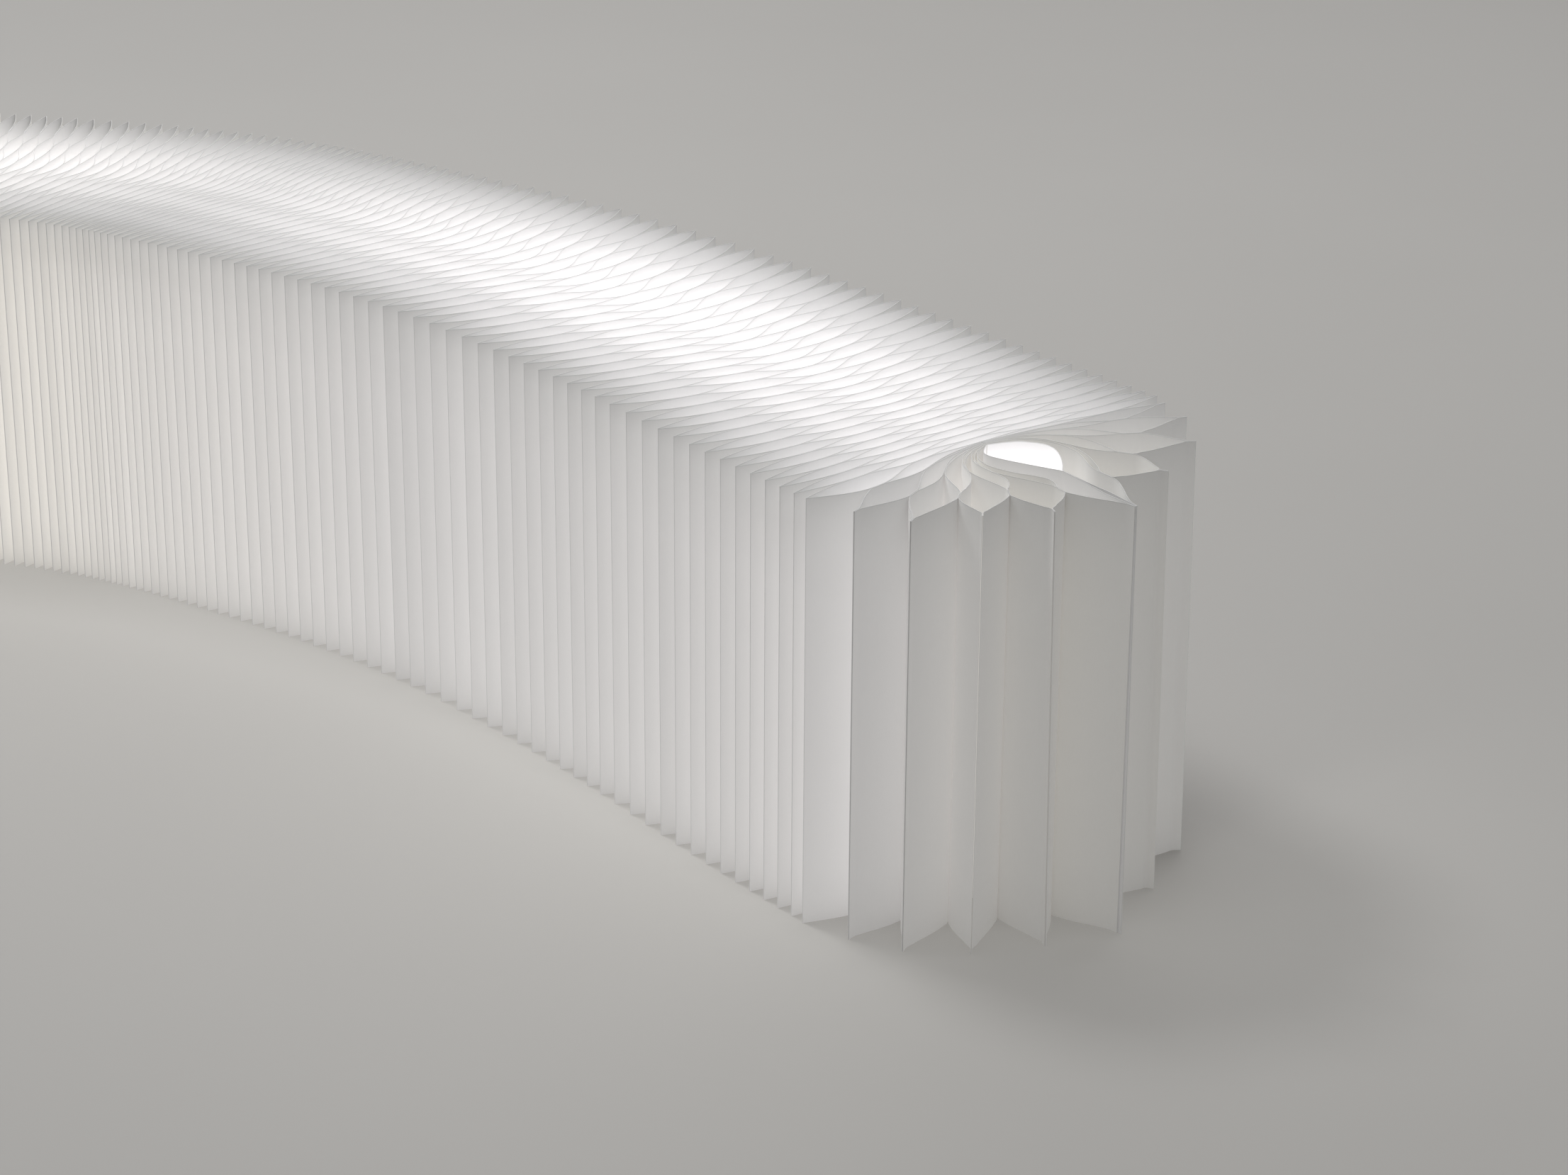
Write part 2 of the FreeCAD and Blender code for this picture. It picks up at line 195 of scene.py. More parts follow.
class Half:
    """One half of one sheet: its stations from the middle outwards.

    out says how many glue steps each station lies from the middle, way is the paper's direction there,
    and lean is how far the foot of the tip stands out from under its top.
    """

    def __init__(self, side, number, line, out):
        self.side = side
        self.number = number
        self.line = line
        self.out = out
        self.lean = 0.0
        self.way = np.gradient(line, axis=0)
        self.way /= np.linalg.norm(self.way, axis=1)[:, None]

    def is_glued(self, station):
        """Glue lies only at whole steps."""
        return abs(self.out[station] - round(self.out[station])) < TINY


def straight_halves(node, first_number):
    """Front and back halves of all the sheets in one node of the straight wall."""
    lines = [straight_line(corners) for corners in top_corners(frame["nodes"][node])]
    lines.sort(key=lambda line: line[STEPS_OUT][0])
    found = []
    for place, line in enumerate(lines):
        front = Half("front", first_number + place, line[STEPS_OUT::-1], np.arange(STEPS_OUT + 1.0))
        back = Half("back", first_number + place, line[STEPS_OUT:], np.arange(STEPS_OUT + 1.0))
        through = unit(back.line[1] - front.line[1])
        front.way[0] = -through
        back.way[0] = through
        found.append({"front": front, "back": back})
    return found


def straight_nodes():
    """Guide pleats and packs in order from the far end."""
    order = []
    for number in range(1, PACKS + 1):
        order += [f"pleat_{2 * number - 1:02d}", f"stretch_pack_{number}"]
        order += [f"pleat_{2 * number:02d}", f"bend_pack_{number}"]
    return order + [f"pleat_{2 * PACKS + 1:02d}"]


wall = {}
count = 0
for node in straight_nodes():
    wall[node] = straight_halves(node, count)
    count += len(wall[node])
print("straight sheets:", count, "in", len(wall), "nodes")

# %% [markdown]
# The fan's sheets are read in the same way, but sorted by their distance from the hinge and by how far
# they have opened. The last sheet is glued only at its tip, so its other stations get numbers that
# aren't whole. Some leaves don't stand quite upright: their feet reach a few millimetres further out
# than their tops.

# %% Fan half sheets
FAN_STEPS = 4
END_SHEET_OUT = (0.05, 2.4)
FOOT_LEAN = {"front": (0, 0, 14, 11, 0), "back": (0, 0, 3, 3, 3)}

last = wall["pleat_13"][-1]
last_way = {side: unit(half.line[STEPS_OUT] - half.line[1]) for side, half in last.items()}


def opened(side, point):
    """Angle of a point of the fan from the last straight sheet, in radians, in the way its side opens."""
    start = last_way[side]
    arm = point - hinge
    turn = math.atan2(start[0] * arm[1] - start[1] * arm[0], start @ arm)
    return turn if side == "front" else -turn


fan = {"front": [], "back": []}
for side, leaves in fan.items():
    for number in range(1, FAN_LEAVES + 1):
        parts = top_corners(frame["nodes"][f"fan_{side}_leaf_{number}"])
        lines = [stations(corners, from_hinge) for corners in parts]
        lines.sort(key=lambda line: opened(side, line[2 * FAN_STEPS]))
        out = np.arange(len(lines[0])) / FAN_STEPS
        first = count + 2 * (number - 1)
        leaves.append([Half(side, first + place, line, out) for place, line in enumerate(lines)])
    corners = top_corners(frame["nodes"][f"end_sheet_{side}"])[0]
    line = stations(corners, from_hinge)
    out = np.append(np.linspace(*END_SHEET_OUT, len(line) - 1), STEPS_OUT)
    leaves[-1].append(Half(side, leaves[-1][-1].number + 1, line, out))
    for leaf, lean in zip(leaves, FOOT_LEAN[side]):
        for half in leaf:
            half.lean = lean * MM

tip_turns = {side: [0.0] for side in fan}
for side, leaves in fan.items():
    tip_turns[side] += [opened(side, leaf[0].line[-1]) for leaf in leaves]
    print(side, "tips at", [round(math.degrees(turn), 1) for turn in tip_turns[side]])

# %% [markdown]
# Two sheets that share a glue point have to lie flat on each other there. Each has its own idea of
# which way it runs through the point, so both take the mean of the two. At the tips of the straight
# wall the glue is a thin line and the sheets come together at an angle. There each keeps its own way,
# drawn a little wider, which gives the tips their points.

# %% Same direction on both sides of the glue
TIP_OWN_WAY = 1.8


def in_order(side):
    """Every half sheet of one side, from the far end of the wall to the end of the fan."""
    straight = [sheet[side] for sheets in wall.values() for sheet in sheets]
    return straight + [half for leaf in fan[side] for half in leaf]


for side in fan:
    halves = in_order(side)
    for before, after in zip(halves, halves[1:]):
        in_fan = after.number >= count
        for place in range(STEPS_OUT + 1):
            held = (place + before.number) % 2 == 1 and not (in_fan and place == 0)
            here = [int(np.argmin(abs(half.out - place))) for half in (before, after)]
            if held and before.is_glued(here[0]) and after.is_glued(here[1]):
                mean = unit(before.way[here[0]] + after.way[here[1]])
                own = TIP_OWN_WAY if place == STEPS_OUT and not in_fan else 0
                for half, spot in ((before, here[0]), (after, here[1])):
                    half.way[spot] = unit(mean + own * (half.way[spot] - mean))
    print(side, "half sheets:", len(halves))

# %% [markdown]
# ## The line of a half sheet
# Paper that is glued in strips leaves each strip straight and then swings over to the next in a soft
# S. A cubic with its direction given at both ends (a Hermite curve) has just that shape, so two sheets
# make a cell like a lens with drawn-out points. A straight run as wide as the glue comes first.

# %% Smooth line
GLUE_HALF = {1: 3.5 * MM, FAN_STEPS: 5.0 * MM}
CURVE_PARTS = 12


def swing(start, start_way, end, end_way, parts):
    """Points of a Hermite curve, its start left out."""
    reach = np.linalg.norm(end - start)
    t = np.linspace(0, 1, parts + 1)[1:, None]
    near = (2 * t**3 - 3 * t**2 + 1) * start + (t**3 - 2 * t**2 + t) * reach * start_way
    far = (3 * t**2 - 2 * t**3) * end + (t**3 - t**2) * reach * end_way
    return near + far


def smooth_line(half, steps):
    """The sheet's points from the middle out. steps is the number of stations in one glue step."""
    glue = GLUE_HALF[steps]
    line = [half.line[0]]
    for number in range(len(half.line) - 1):
        start, start_way = half.line[number], half.way[number]
        end, end_way = half.line[number + 1], half.way[number + 1]
        if half.is_glued(number):
            start = start + glue * start_way
            line.append(start)
        stop = end - glue * end_way if half.is_glued(number + 1) else end
        line += list(swing(start, start_way, stop, end_way, CURVE_PARTS // steps))
        if half.is_glued(number + 1):
            line.append(end)
    return np.array(line)


sample = smooth_line(wall["pleat_07"][0]["front"], 1)
print("a straight half sheet has", len(sample), "points")

# %% Measures along a line
EDGE_WIDTH = 0.7 * MM


def walked(line):
    """Distance along a line at each of its points."""
    return np.append(0, np.cumsum(np.linalg.norm(np.diff(line, axis=0), axis=1)))


def with_point_at(line, distance):
    """The same line with one more point at a distance along it."""
    along = walked(line)
    number = int(np.searchsorted(along, distance))
    share = (distance - along[number - 1]) / (along[number] - along[number - 1])
    point = line[number - 1] + share * (line[number] - line[number - 1])
    return np.insert(line, number, point, axis=0)


def edged(line):
    """The same line with one more point just before its tip, where the tip edge's painted shade starts."""
    return with_point_at(line, walked(line)[-1] - EDGE_WIDTH)


def line_ways(line):
    """Direction of a smooth line at each of its points."""
    ways = np.gradient(line, walked(line), axis=0)
    return ways / np.linalg.norm(ways, axis=1)[:, None]


print("and is", round(walked(sample)[-1] / MM, 1), "mm long")

# %% [markdown]
# ## Shader helper
# A material's maths is easier to read as Python than as a web of nodes. A wire is one socket. Adding,
# multiplying or subtracting wires and numbers makes the Math nodes, and one method makes any other
# node from its settings and the values or wires of its sockets.

# %% Wires
class Wire:
    """One socket of a material's tree, with Python's operators."""

    def __init__(self, tree, socket=None):
        self.tree = tree
        self.socket = socket

    def node(self, kind, settings=None, values=None, out=0):
        made = self.tree.nodes.new(kind)
        for name, value in (settings or {}).items():
            setattr(made, name, value)
        for name, value in (values or {}).items():
            socket = made.inputs[name]
            if isinstance(value, Wire):
                self.tree.links.new(value.socket, socket)
            else:
                socket.default_value = value
        return Wire(self.tree, made.outputs[out])

    def math(self, operation, first, second):
        return self.node("ShaderNodeMath", {"operation": operation}, {0: first, 1: second})

    def __add__(self, other):
        return self.math("ADD", self, other)

    def __radd__(self, other):
        return self.math("ADD", other, self)

    def __sub__(self, other):
        return self.math("SUBTRACT", self, other)

    def __rsub__(self, other):
        return self.math("SUBTRACT", other, self)

    def __mul__(self, other):
        return self.math("MULTIPLY", self, other)

    def __rmul__(self, other):
        return self.math("MULTIPLY", other, self)

    def mix(self, first, second):
        """A colour between two, this wire being the share of the second."""
        factor, colour_a, colour_b, colour_out = 0, 6, 7, 2
        values = {factor: self, colour_a: first, colour_b: second}
        return self.node("ShaderNodeMix", {"data_type": "RGBA"}, values, out=colour_out)

    def swinging(self, middle, width):
        """A number round a middle, as this wire goes from 0 to 1."""
        return self * width + (middle - width / 2)


# %% Finishes
def new_finish(name, values):
    """A new material with one Principled surface. Returns it, its tree's wire maker and the surface."""
    material = bpy.data.materials.new(name)
    material.use_nodes = True
    tree = material.node_tree
    tree.nodes.clear()
    surface = tree.nodes.new("ShaderNodeBsdfPrincipled")
    output = tree.nodes.new("ShaderNodeOutputMaterial")
    tree.links.new(surface.outputs["BSDF"], output.inputs["Surface"])
    for socket, value in values.items():
        surface.inputs[socket].default_value = value
    return material, Wire(tree), surface


def join(wire, surface, name):
    wire.tree.links.new(wire.socket, surface.inputs[name])


def mesh_number(wire, name):
    """A number that the mesh carries at each of its points."""
    return wire.node("ShaderNodeAttribute", {"attribute_name": name}, out="Fac")


def noise(wire, place, scale, detail):
    return wire.node("ShaderNodeTexNoise", values={"Vector": place, "Scale": scale, "Detail": detail})


def object_place(wire):
    return wire.node("ShaderNodeTexCoord", out="Object")


# %% [markdown]
# ## Paper finish
# Nonwoven paper is matt and nearly white, with a faint cloud of thicker and thinner spots and fine
# fibres pressed flat. Both are noise that is laid out flat on each sheet, by the distance from the
# middle and the height, so that it bends with the paper. The top rims and the cut edges at the tips
# get a painted shade and glow less. The paper's glow comes from numbers that its mesh carries.

# %% Paper material
PAPER_WHITE = (0.80, 0.80, 0.79, 1)
PAPER_CLOUD = (0.74, 0.74, 0.73, 1)
# Painted shade: the top rims and the tip edges are mixed towards this darker colour.
PAPER_EDGE_SHADE = (0.58, 0.58, 0.575, 1)
GLOW_WHITE = (1.0, 0.97, 1.0, 1)
GLOW_WARM = (1.0, 0.94, 0.84, 1)
GLOW_NONE = (0.0, 0.0, 0.0, 1)
SHEET_SHIFT = 0.37
CLOUD_SCALE, FIBRE_SCALE, FIBRE_SQUEEZE = 45.0, 260.0, 5.0
CLOUD_IN_COLOUR, CLOUD_IN_BUMP = 0.6, 0.7
PAPER_ROUGHNESS = 0.84
SWING = 0.12
EDGE_DIMS = 0.6
PAPER_BUMP = {"Strength": 0.25, "Distance": 0.4 * MM}

paper, wire, surface = new_finish("paper", {"Specular IOR Level": 0.25, "Emission Strength": 1})
from_middle = mesh_number(wire, "from_middle")
edge = mesh_number(wire, "edge")
shift = mesh_number(wire, "sheet") * SHEET_SHIFT
height = wire.node("ShaderNodeSeparateXYZ", values={"Vector": object_place(wire)}, out="Z")


def paper_noise(across, scale, detail):
    """Noise laid out on the flat sheet, with its own place for each sheet."""
    place = wire.node("ShaderNodeCombineXYZ", values={"X": across, "Y": height, "Z": shift})
    return noise(wire, place, scale, detail)


cloud = paper_noise(from_middle, CLOUD_SCALE, 4.0)
fibres = paper_noise(from_middle * FIBRE_SQUEEZE, FIBRE_SCALE, 3.0)
stuff = cloud * CLOUD_IN_COLOUR + fibres * (1 - CLOUD_IN_COLOUR)
# Painted shade: the top rims and the tip edges are mixed towards the darker edge colour, and their glow is
# dimmed.
join(edge.mix(stuff.mix(PAPER_WHITE, PAPER_CLOUD), PAPER_EDGE_SHADE), surface, "Base Color")
join(cloud.swinging(PAPER_ROUGHNESS, SWING), surface, "Roughness")

own_light = mesh_number(wire, "glow") * cloud.swinging(1, SWING) * (1 - edge * EDGE_DIMS)
glow_colour = mesh_number(wire, "warmth").mix(GLOW_WHITE, GLOW_WARM)
join(own_light.mix(GLOW_NONE, glow_colour), surface, "Emission Color")

relief = cloud * CLOUD_IN_BUMP + fibres * (1 - CLOUD_IN_BUMP)
join(wire.node("ShaderNodeBump", values={"Height": relief, **PAPER_BUMP}), surface, "Normal")
print("paper nodes:", len(paper.node_tree.nodes))

# %% [markdown]
# ## How the paper glows
# Lamps in the tunnel light the cells from below and the white paper passes the light on from cell to
# cell. Tracing that through so many sheets is slow and noisy, so the glow is written into the paper as
# a little light of its own. Inside the cells it is strongest over the lamps and fades to both tips,
# with two long crests where the wall is brightest. The fan's cells have a part of it.

# %% Glow in the cells
GLUE_STEP = 50.8 * MM
HALF_DEPTH = STEPS_OUT * GLUE_STEP
GLOW_CELLS = 0.075
GLOW_RIDGE = 0.31
CRESTS = ((118, 45, 0.22), (0, 45, 0.17))
GLOW_FAN_CELLS = 0.6


def cell_glow(strip):
    """Inside the cells: an even part, and a part that is strongest over the lamps."""
    fall = np.clip(strip.from_middle / HALF_DEPTH, 0, 1) ** 2
    crest = 0
    for sheet, spread, level in CRESTS:
        crest += level * math.exp(-(((strip.number - sheet) / spread) ** 2))
    glow = GLOW_CELLS + (GLOW_RIDGE + crest) * (1 - fall)
    return glow if strip.number < count else GLOW_FAN_CELLS * glow


print("brightest cell:", round(GLOW_CELLS + GLOW_RIDGE + CRESTS[0][2], 3))

# %% [markdown]
# The outer skins, which show between the tips, have a level of their own. It is higher on the front
# than on the back, dims towards the fan and round it, and is a touch stronger down in the valleys
# between the tips. No two real pleats are quite alike, so every sheet gets a small step up or down.

# %% Glow on the outside
GLOW_FACE = {"far": 0.255, "near": 0.185}
GLOW_LEAVES = {"first": 0.145, "last": 0.07}
BACK_SHARE = 0.7
FAN_VALLEY = 0.5
VALLEY_GAIN, TIP_LOSS, VALLEY_DEPTH = 0.045, 0.006, 30 * MM
UNEVEN = 0.007
OPEN_FROM = {"wall": 2.0, "fan": 1.4}
OPEN_WITHIN = 0.5

rng = np.random.default_rng(28)
uneven = UNEVEN * rng.normal(size=count + 2 * FAN_LEAVES + 2)


def face_glow(strip):
    """On the outer skins. It dims along the wall and round the fan."""
    valley = VALLEY_GAIN * np.clip(strip.from_tip / VALLEY_DEPTH, 0, 1) - TIP_LOSS
    valley += uneven[strip.number]
    if strip.number < count:
        share = strip.number / count
        level = GLOW_FACE["far"] + share * (GLOW_FACE["near"] - GLOW_FACE["far"])
        return valley + level * (BACK_SHARE if strip.side == "back" else 1)
    share = (strip.number - count) / (2 * FAN_LEAVES - 1)
    level = GLOW_LEAVES["first"] + share * (GLOW_LEAVES["last"] - GLOW_LEAVES["first"])
    return FAN_VALLEY * valley + level


def open_share(strip, skin):
    """How far each point of a skin belongs to the outside of the wall: 0 in the cells, 1 at the tips."""
    if skin != strip.outer_skin:
        return np.zeros(len(strip.line))
    start = OPEN_FROM["wall" if strip.number < count else "fan"]
    return soft(np.clip((strip.steps - start) / OPEN_WITHIN, 0, 1))


print("uneven by", round(abs(uneven).max(), 4), "at most")

# %% [markdown]
# All of it is weaker in a band under the top rim and in a band above the foot. The last sheet, which
# lines the eye of the fan, is the brightest of all. The light is also a little yellow where it has
# come a long way, at the far end and in the fan.

# %% Glow and warmth of a skin
GLOW_EYE = 0.55
RIM_LOSS, RIM_DEPTH = 0.55, 22 * MM
FOOT_LOSS, FOOT_DEPTH = 0.3, 15 * MM
FAN_FOOT_LOSS, FAN_FOOT_DEPTH = 0.3, 30 * MM
WARM_SHEETS = 110
WARM_CELLS, WARM_SKIN, WARM_FAR_SKIN = 0.2, 0.2, 0.5
WALL_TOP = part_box("pleat_07")[1].z


def glow_at(strip, skin, height):
    """The paper's own light along one row of a strip, on the skin that faces this way."""
    glow = cell_glow(strip)
    if strip.is_end and skin == strip.outer_skin:
        glow = np.full_like(glow, GLOW_EYE)
    glow = glow + open_share(strip, skin) * (face_glow(strip) - glow)
    rim = 1 - RIM_LOSS * math.exp(-(WALL_TOP - height) / RIM_DEPTH)
    loss, depth = (FOOT_LOSS, FOOT_DEPTH) if strip.number < count else (FAN_FOOT_LOSS, FAN_FOOT_DEPTH)
    foot = 1 - loss * math.exp(-height / depth)
    return glow * rim * foot


def warmth_of(strip, skin):
    """How yellow the glow is at each point, from 0 to 1."""
    if strip.is_end:
        return np.zeros(len(strip.line))
    if strip.number >= count:
        return np.full(len(strip.line), (strip.number - count + 1) / (2 * FAN_LEAVES))
    far = max(1 - strip.number / WARM_SHEETS, 0)
    return WARM_CELLS * far + open_share(strip, skin) * (WARM_SKIN + WARM_FAR_SKIN * far)


print("wall top:", round(WALL_TOP, 4), "m")

# %% [markdown]
# ## From line to paper
# The paper is a closed skin 0.35 mm thick: a face on each side, a rim on top and at the foot, and two
# end rims. A Solidify modifier could thicken a plain face, but the fan is cut into short runs that
# move with different leaves, and their shading has to meet without a seam. So the two faces are made
# here, and each takes its normals from the whole line.

# %% Strips
PAPER_HALF = 0.35 / 2 * MM
LEAN_FROM = 2


class Strip:
    """A run of one half sheet, ready to be made into paper."""

    def __init__(self, half, line, first, last, is_end=False):
        line_way = line_ways(line)
        self.side = half.side
        self.number = half.number
        self.is_end = is_end
        self.line = line[first : last + 1]
        self.side_way = np.stack([-line_way[:, 1], line_way[:, 0]], axis=1)[first : last + 1]
        self.from_middle = walked(line)[first : last + 1]
        self.from_tip = walked(line)[-1] - self.from_middle
        self.steps = self.from_middle / HALF_DEPTH * STEPS_OUT
        turned = 1 if half.side == "front" else -1
        self.outer_skin = turned if half.number % 2 else -turned
        share = soft(np.clip(self.steps - LEAN_FROM, 0, 1))
        self.lean = half.lean * share[:, None] * line_way[-1]

    def skin(self, sign, height):
        """The line of one face of the paper at a height."""
        lower = 1 - height / WALL_TOP
        return self.line + sign * PAPER_HALF * self.side_way + lower * self.lean


FOOT_TUNNEL_HALF = 13 * MM
strips_in_wall = {}
for sheets in wall.values():
    for half in (half for sheet in sheets for half in sheet.values()):
        line = edged(with_point_at(smooth_line(half, 1), FOOT_TUNNEL_HALF))
        strips_in_wall[half.side, half.number] = Strip(half, line, 0, len(line) - 1)
print("strips ready:", len(strips_in_wall))

# %% [markdown]
# The mesh has twelve rows of points, close together near the foot and the top where the glow changes
# fast. It carries the numbers that the finish reads: how far along the sheet each point is, which
# sheet it is on, how much it glows, how yellow, and how much painted shade it gets as a top rim or tip
# edge. At the middle the foot is left open up to the tunnel's height, for the ribbon of lamps.

# %% Paper mesh
FOOT_TUNNEL_HEIGHT = 15 * MM
HEIGHTS = np.array([0, 8, 15, 40, 90, 150, 210, 245, 265, 274]) * MM
ROWS = np.append(HEIGHTS, [WALL_TOP - EDGE_WIDTH, WALL_TOP])
TUNNEL_ROW = int(np.argmin(abs(ROWS - FOOT_TUNNEL_HEIGHT)))
# Shares of painted shade on the top rim and on the tip edges.
TOP_EDGE_SHADE, TIP_EDGE_SHADE = 0.8, 0.05
AT_TIP = 0.1 * MM
SAME_WAY = 0.7


class Mesh:
    """Points, faces and the numbers that go with the points, gathered before the mesh is made."""

    def __init__(self):
        self.points, self.faces, self.normals = [], [], []
        self.numbers = {"from_middle": [], "sheet": [], "glow": [], "warmth": [], "edge": []}

    def add_skins(self, strip):
        for sign in (1, -1):
            for row in ROWS:
                self.points += [(x, y, row) for x, y in strip.skin(sign, row)]
                self.normals += [(sign * x, sign * y, 0) for x, y in strip.side_way]
                self.numbers["from_middle"] += list(strip.from_middle)
                self.numbers["sheet"] += [strip.number] * len(strip.line)
                self.numbers["glow"] += list(glow_at(strip, sign, row))
                self.numbers["warmth"] += list(warmth_of(strip, sign))
                tips = TIP_EDGE_SHADE * (strip.from_tip < AT_TIP)
                self.numbers["edge"] += list(np.maximum(tips, TOP_EDGE_SHADE * (row == WALL_TOP)))

    def add_faces(self, strip):
        columns, rows = len(strip.line), len(ROWS)
        base = len(self.points) - 2 * rows * columns
        in_tunnel = strip.from_middle[1:] <= FOOT_TUNNEL_HALF + TINY
        feet = [TUNNEL_ROW if inside else 0 for inside in in_tunnel]

        def spot(back, row, column):
            return base + (back * rows + row) * columns + column

        def rim(corners, turn):
            front, back = [spot(0, *corner) for corner in corners], [spot(1, *corner) for corner in corners]
            self.faces.append((front[0], front[1], back[1], back[0])[::turn])

        for column, foot in enumerate(feet):
            for row in range(foot, rows - 1):
                square = (row, column), (row, column + 1), (row + 1, column + 1), (row + 1, column)
                self.faces.append(tuple(spot(0, *corner) for corner in square[::-1]))
                self.faces.append(tuple(spot(1, *corner) for corner in square))
            rim([(foot, column), (foot, column + 1)], 1)
            rim([(rows - 1, column), (rows - 1, column + 1)], -1)
            before = feet[column - 1] if column else foot
            for row in range(foot, before):
                rim([(row, column), (row + 1, column)], -1)
        for column, foot, turn in ((0, feet[0], -1), (columns - 1, feet[-1], 1)):
            for row in range(foot, rows - 1):
                rim([(row, column), (row + 1, column)], turn)

    def corner_normals(self, mesh):
        """Smooth normals on the skins and flat ones on the rims."""
        found = []
        for polygon in mesh.polygons:
            for corner in polygon.vertices:
                smooth = Vector(self.normals[corner])
                found.append(smooth if smooth.dot(polygon.normal) > SAME_WAY else polygon.normal)
        return found


print("rows of points:", len(ROWS), "tunnel up to row", TUNNEL_ROW)

# %% Paper pieces
def paper_mesh(name, strips):
    """One piece of paper from several strips."""
    gathered = Mesh()
    for strip in strips:
        gathered.add_skins(strip)
        gathered.add_faces(strip)
    mesh = bpy.data.meshes.new(name)
    mesh.from_pydata(gathered.points, [], gathered.faces)
    for key, values in gathered.numbers.items():
        layer = mesh.attributes.new(key, "FLOAT", "POINT")
        layer.data.foreach_set("value", np.array(values, np.float32))
    mesh.polygons.foreach_set("use_smooth", [True] * len(mesh.polygons))
    mesh.normals_split_custom_set(gathered.corner_normals(mesh))
    mesh.materials.append(paper)
    piece = bpy.data.objects.new(name, mesh)
    bpy.context.scene.collection.objects.link(piece)
    return piece


# %% [markdown]
# ## Guide pleats
# Thirteen single pleats divide the wall into packs, and each keeps its shape while the packs between
# them stretch and bend. They only have to ride on their bodies.

# %% Guide pleats
SIDES = ("front", "back")
for number in range(1, 2 * PACKS + 2):
    node = f"pleat_{number:02d}"
    strips = [strips_in_wall[side, sheet[side].number] for sheet in wall[node] for side in SIDES]
    piece = paper_mesh(f"paper_guide_{number:02d}", strips)
    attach(piece, f"guide_{number:02d}")
    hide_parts(node)
print("points in a guide pleat:", len(piece.data.vertices))

# %% [markdown]
# ## Packs
# A pack bends or stretches between its two guide pleats, and every pleat in it should take its share.
# A blend moves a point by a soft S of how far it lies between two given points, and one blend over a
# whole pack would crush its middle. So for each pleat two points are set square to its own ribs, where
# the S gives just the shares that the pleat's two ribs should have. These are worked out, but no blend
# is made, and the pleats are left in place.

# %% Blend shares
EVENNESS = 0.5
LEAST_RISE = 0.002


def soft_back(share):
    """The value whose soft S is this share."""
    return 0.5 - math.sin(math.asin(1 - 2 * share) / 3)


def blend_between(piece, here, there, shares):
    """Works out the two points of a blend giving a share of the second body's motion here and another share
    there, and bakes the piece's place into its mesh. No blend is made.
    """
    low, high = (soft_back(min(max(share, 0.0), 1.0)) for share in shares)
    if abs(high - low) < LEAST_RISE:
        high = low + LEAST_RISE
    run = (there - here) / (high - low)
    start = here - low * run
    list(start + run)
    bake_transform(piece)


# %% Pack pleats
def rib_way(before, after):
    """Direction of a pleat's half, from its inner rib and its outer one."""
    return unit(before.line[2] - before.line[0] + after.line[2] - after.line[0])


def pack_pleats(node, bodies):
    """The pleats of one pack, each in a front piece and a back piece."""
    sheets = wall[node]
    first, final = sheets[0]["front"].line[0], sheets[-1]["front"].line[0]
    reach = final - first
    for place in range(0, len(sheets), 2):
        for side in SIDES:
            inner, outer = sheets[place][side], sheets[place + 1][side]
            strips = [strips_in_wall[side, half.number] for half in (inner, outer)]
            piece = paper_mesh(f"paper_{side}_{inner.number // 2:02d}", strips)
            shares = []
            for half in (inner, outer):
                share = (half.line[0] - first) @ reach / (reach @ reach)
                shares.append((1 - EVENNESS) * share + EVENNESS * soft(share))
            way = rib_way(inner, outer)
            square = np.array([-way[1], way[0]])
            step = (outer.line[0] - inner.line[0]) @ square
            blend_between(piece, inner.line[0], inner.line[0] + step * square, shares)
            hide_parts(node)


for number in range(1, PACKS + 1):
    for node, guide in ((f"stretch_pack_{number}", 2 * number - 1), (f"bend_pack_{number}", 2 * number)):
        pack_pleats(node, (f"guide_{guide:02d}", f"guide_{guide + 1:02d}"))
print("pack pleats:", sum(len(sheets) for node, sheets in wall.items() if "pack" in node) // 2)

# %% [markdown]
# ## The fan
# As the fan folds, its paper has to close like the pages of a book: every point turns back by the
# same part of its angle from the straight wall. The ribs leave the hinge close together and curve
# apart further out, so one sheet crosses several leaves' sectors. Each half sheet is cut where it
# passes a leaf's angle and at its glue. A run that lies along one leaf's angle rides on that leaf's
# body; for a run between two, its shares of the two bodies are worked out, but no blend is made.

# %% Cuts and sectors
def cut_places(half, line):
    """The line with new points where it crosses a leaf's angle, and the numbers of the points to cut at."""
    turns = [opened(half.side, point) for point in line[1:]]
    limits = tip_turns[half.side][1:-1]
    points = [line[0], line[1]]
    cuts = [0]
    for number in range(1, len(turns)):
        before, after = turns[number - 1], turns[number]
        for limit in sorted(limits, reverse=after < before):
            if min(before, after) < limit < max(before, after):
                share = (limit - before) / (after - before)
                points.append(line[number] + share * (line[number + 1] - line[number]))
                cuts.append(len(points) - 1)
        points.append(line[number + 1])
    line = np.array(points)
    for number, out in enumerate(half.out):
        if half.is_glued(number) and 0 < out < STEPS_OUT:
            cuts.append(int(np.argmin(np.linalg.norm(line - half.line[number], axis=1))))
    return line, sorted(set(cuts + [len(line) - 1]))


def sector(side, turn):
    """Number of the leaf whose sector holds a turn, and the sector's two limits."""
    limits = tip_turns[side]
    number = 1
    while number < FAN_LEAVES and turn > limits[number]:
        number += 1
    return number, limits[number - 1 : number + 1]


print("a turn of half a radian lies in front sector", sector("front", 0.5)[0])

# %% Fan leaves
ALL_OF_ONE = 0.001


def fan_body(side, number):
    return f"fan_{side}_{number}" if number else "guide_13"


